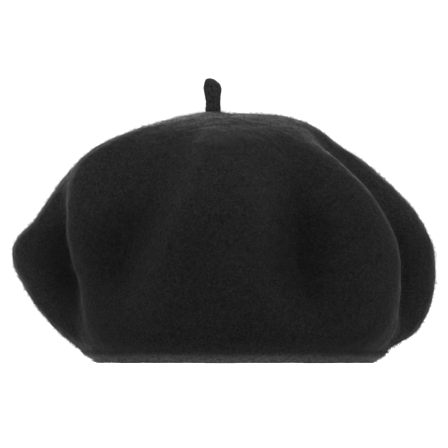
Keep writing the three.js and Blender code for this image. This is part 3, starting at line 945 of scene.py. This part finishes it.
BOW_MIDDLE = (BOW_LOW.z + BOW_HIGH.z) / 2
BOW_WIDTH = 10 * MM
BOW_THICKNESS = 0.5 * MM
BOW_LENGTH = 78 * MM  # the ribbon in both loops, laid flat
BOW_HALF_SPAN = 17 * MM
BOW_DROOP = 1.1 * MM
KNOT_WIDTH = 5.4 * MM
# One loop's middle line, seen from above, and the knot's, seen from its side, in millimetres.
RIGHT_LOOP = [
    (0, -0.5),
    (4, -0.2),
    (9, 0),
    (14, 0),
    (16.6, -0.7),
    (16.8, -1.8),
    (14, -3.1),
    (9, -3.4),
    (4, -2.3),
]
KNOT_TURN = [(0.2, 0), (0.1, 3.2), (-1, 4.1), (-2.1, 3.4), (-2.5, 0), (-2.1, -3.4), (-1, -4.1), (0.1, -3.2)]
BACK_CURVE_RADIUS = (HEM_HALF_WIDTH - BAND_INSIDE) ** 2 / (HEM_HALF_DEPTH - BAND_INSIDE)
BOW_BACK = KNOT_HIGH.y - 0.9 * MM


def along_back(obj):
    """Bends a piece made flat at y = 0 round the inside of the band's back."""
    points, _ = mesh_arrays(obj)
    points[:, 1] += BOW_BACK - points[:, 0] ** 2 / (2 * BACK_CURVE_RADIUS)
    points[:, 2] += BOW_MIDDLE
    move_vertices(obj, points)


def bow_loops():
    """Two flat loops of narrow ribbon: full at the ends and gathered in the middle."""
    left_loop = [(-x, y) for x, y in RIGHT_LOOP[1:]]
    corners = RIGHT_LOOP + [(0, -1.5)] + left_loop[::-1]
    samples = 4 * round(BOW_LENGTH / RIB_PITCH)
    path = smooth_path([(x * MM, y * MM, 0) for x, y in corners], samples, closed=True)
    gathered = 0.34 * np.exp(-((path[:, 0] / (4.5 * MM)) ** 2))
    up = np.tile((0.0, 0.0, 1.0), (len(path), 1))
    widths = BOW_WIDTH * (1 - gathered)
    loops = ribbon("bow_loops_ribbon", path, up, widths, BOW_THICKNESS, True, RIB_HEIGHT)
    points, _ = mesh_arrays(loops)
    outward_share = np.abs(points[:, 0]) / BOW_HALF_SPAN
    points[:, 2] -= BOW_DROOP * outward_share**2
    points[:, 1] -= 0.5 * MM * outward_share * np.sin(points[:, 2] / (3.2 * MM))
    move_vertices(loops, points)
    along_back(loops)
    return finish_piece(loops, RIBBON_LOOK, "cap", "bow_loops")


def bow_knot():
    """A turn of the same ribbon round the middle of the loops."""
    path = smooth_path([(0, y * MM, z * MM) for y, z in KNOT_TURN], 96, closed=True)
    aside = np.tile((1.0, 0.0, 0.0), (len(path), 1))
    widths = KNOT_WIDTH * (1 + 0.12 * np.cos(path[:, 2] / (4 * MM) * np.pi))
    knot = ribbon("bow_knot_ribbon", path, aside, widths, BOW_THICKNESS, True, RIB_HEIGHT)
    along_back(knot)
    return finish_piece(knot, RIBBON_LOOK, "cap", "bow_knot")


def bow():
    """The loops and the knot that gathers them."""
    loops = bow_loops()
    knot = bow_knot()


# ---------------------------------------------------------------- the care label

LABEL_WIDTH = LABEL_HIGH.y - LABEL_LOW.y
LABEL_DROP = LABEL_HIGH.z - LABEL_LOW.z
LABEL_THICKNESS = 0.35 * MM


def care_label():
    """A blank folded tape that hangs from its seam, its lower corners curling a little off the band."""
    drop = LABEL_DROP / MM
    top = (LABEL_HIGH.z - LABEL_HINGE.z) / MM
    corners = [(0.42, top), (0.45, top - 0.4 * drop), (0.45, top - 0.8 * drop), (0.4, top - drop + 1)]
    corners += [(0, top - drop + 0.3), (-0.5, top - drop + 1), (-0.8, top - 0.8 * drop)]
    corners += [(-0.75, top - 0.4 * drop), (-0.45, top)]
    path = smooth_path([(x * MM, 0, z * MM) for x, z in corners], 90)
    aside = np.tile((0.0, 1.0, 0.0), (len(path), 1))
    label = ribbon("folded_label", path, aside, LABEL_WIDTH, LABEL_THICKNESS)
    split_across(label)
    points, _ = mesh_arrays(label)
    fall = np.clip(-points[:, 2] / LABEL_DROP, 0, 1)
    side = points[:, 1] / (LABEL_WIDTH / 2)
    points[:, 0] -= (1.3 * side**2 + 0.5 * np.sin(2.2 * side + 1)) * MM * fall**2
    move_vertices(label, points + np.array(LABEL_HINGE))
    finish_piece(label, LABEL_LOOK, "label", "care_label")


def split_across(obj):
    """Cuts the long faces that run across a strip, so that it can curl."""
    shape = bmesh.new()
    shape.from_mesh(obj.data)
    wide = [edge for edge in shape.edges if edge.calc_length() > 4 * MM]
    bmesh.ops.subdivide_edges(shape, edges=wide, cuts=7, use_grid_fill=True)
    shape.to_mesh(obj.data)
    shape.free()


def label_thread():
    """Short stitches side by side along the label's top edge, holding it to the band."""
    count = 15
    pitch = LABEL_WIDTH / count
    runs = []
    for i in range(count):
        middle = np.array(LABEL_HINGE) + np.array([0, (i - (count - 1) / 2) * pitch, 0])
        reach = np.array([0, 0.42 * pitch, (0.16 if i % 2 else -0.16) * MM])
        runs.append((middle - reach, middle + reach, np.array([-0.2 * MM, 0, 0])))
    return stitches("label_stitches", runs, "cap", "label_thread")


# ---------------------------------------------------------------- the beret

shell = felt_shell()
felt_nap(shell)
stem_nap(stem())
stem_root()
stem_tack_thread()
sweatband()
sweatband_thread()
band_join_thread()
bow()
label_thread()
care_label()

# ---------------------------------------------------------------- the camera, the light and the floor

VIEW_DISTANCE = 1.7
VIEW_HEIGHT = 0.001  # level with the hem
FRAME_WIDTH = 0.2554  # what the picture spans at the beret's middle
LOOK_AT = Vector((-0.006, 0, 0.0794))


def aim(obj, target):
    """Turns a camera or a light to look at a point."""
    obj.rotation_euler = (target - obj.location).to_track_quat("-Z", "Y").to_euler()


def make_camera():
    data = bpy.data.cameras.new("camera")
    data.sensor_width = 36
    data.lens = data.sensor_width * VIEW_DISTANCE / FRAME_WIDTH
    camera = bpy.data.objects.new("camera", data)
    bpy.context.scene.collection.objects.link(camera)
    camera.location = (LOOK_AT.x, -VIEW_DISTANCE, VIEW_HEIGHT)
    aim(camera, LOOK_AT)
    bpy.context.scene.camera = camera


def make_light(name, place, size, power):
    data = bpy.data.lights.new(name, "AREA")
    data.shape = "DISK"
    data.size = size
    data.energy = power
    light = bpy.data.objects.new(name, data)
    bpy.context.scene.collection.objects.link(light)
    light.location = place
    aim(light, LOOK_AT)


def make_floor():
    """A matt floor that melts into the white behind it."""
    nodes = Nodes("pale_floor", None)
    nodes.set(Base_Color=(0.9, 0.9, 0.9, 1), Roughness=1.0, Specular_IOR_Level=0.0)
    nodes.set(Emission_Color=(1, 1, 1, 1), Emission_Strength=0.3)
    bpy.ops.mesh.primitive_plane_add(size=30, location=(0, 0, -0.0002))
    floor = bpy.context.object
    floor.name = "floor"
    floor.data.materials.append(nodes.material)


def make_world():
    """A white studio that is dimmer on the viewer's side than behind the beret."""
    world = bpy.data.worlds.new("studio")
    world.use_nodes = True
    tree = world.node_tree
    direction = tree.nodes.new("ShaderNodeTexCoord").outputs["Generated"]
    separate = tree.nodes.new("ShaderNodeSeparateXYZ")
    tree.links.new(direction, separate.inputs[0])
    strength = tree.nodes.new("ShaderNodeMapRange")
    tree.links.new(separate.outputs["Y"], strength.inputs["Value"])
    for name, value in (("From Min", 0.45), ("From Max", 0.95), ("To Min", 1.0), ("To Max", 1.3)):
        strength.inputs[name].default_value = value
    background = tree.nodes["Background"]
    background.inputs["Color"].default_value = (1, 1, 1, 1)
    tree.links.new(strength.outputs[0], background.inputs["Strength"])
    bpy.context.scene.world = world
    bpy.context.scene.view_settings.view_transform = "Standard"


make_camera()
make_light("overhead", (0.1, 0.3, 1.6), 1.2, 8)
make_light("front", (0.1, -1.6, 0.9), 1.0, 14)
make_light("behind", (-0.3, 2.4, 1.2), 1.6, 150)
make_floor()
make_world()
